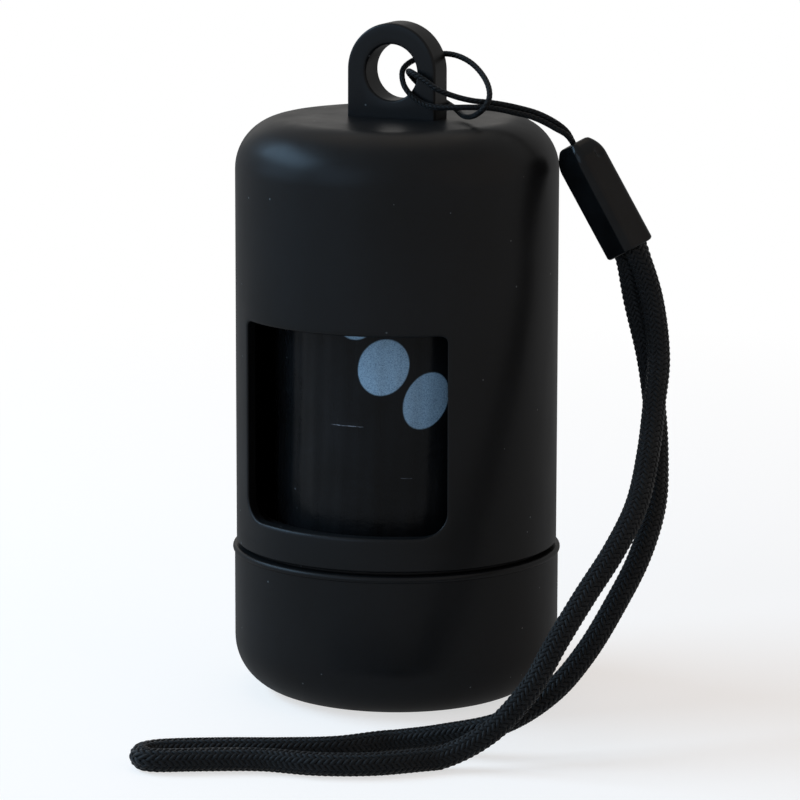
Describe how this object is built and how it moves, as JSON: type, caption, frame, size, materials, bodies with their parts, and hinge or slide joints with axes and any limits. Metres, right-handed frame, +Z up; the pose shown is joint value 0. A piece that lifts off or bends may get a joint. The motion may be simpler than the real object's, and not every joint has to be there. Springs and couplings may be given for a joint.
{
  "type": "bag dispenser",
  "caption": "Small upright dispenser for rolled dog waste bags: a round tube with a side window, a push-on base cap, a roof lug and a braided wrist loop.",
  "frame": {"origin": "centre of the base cap's flat underside, on the standing surface", "axes": "+Z up along the tube's axis, -Y out through the middle of the window, +X towards the ferrule and the wrist loop"},
  "size_m": [0.0619, 0.0751, 0.0878],
  "materials": {
    "shell_plastic": "soft-touch black",
    "cap_plastic": "soft-touch black",
    "core_card": "plain wound card",
    "bag_film": "thin black film, wound",
    "printed_film": "thin black film with pale paw prints",
    "thin_cord": "twisted black cord",
    "ferrule_plastic": "black, half gloss",
    "braid": "black herringbone braid"
  },
  "bodies": {
    "base": {"base_cap": "cap_plastic"},
    "roll": {"roll_core": "core_card", "bag_roll": "bag_film", "leading_bag": "printed_film"},
    "shell": {"upper_shell": "shell_plastic", "hitch_cord": "thin_cord", "ferrule": "ferrule_plastic", "wrist_loop": "braid"}
  },
  "joints": [
    {"name": "shell_lift", "type": "slide", "parent": "base", "child": "shell", "axis": [0, 0, 1], "range_m": [0, 0.062]},
    {"name": "roll_spin", "type": "hinge", "parent": "base", "child": "roll", "pos_m": [0, 0, 0.0035], "axis": [0, 0, 1], "continuous": true}
  ]
}
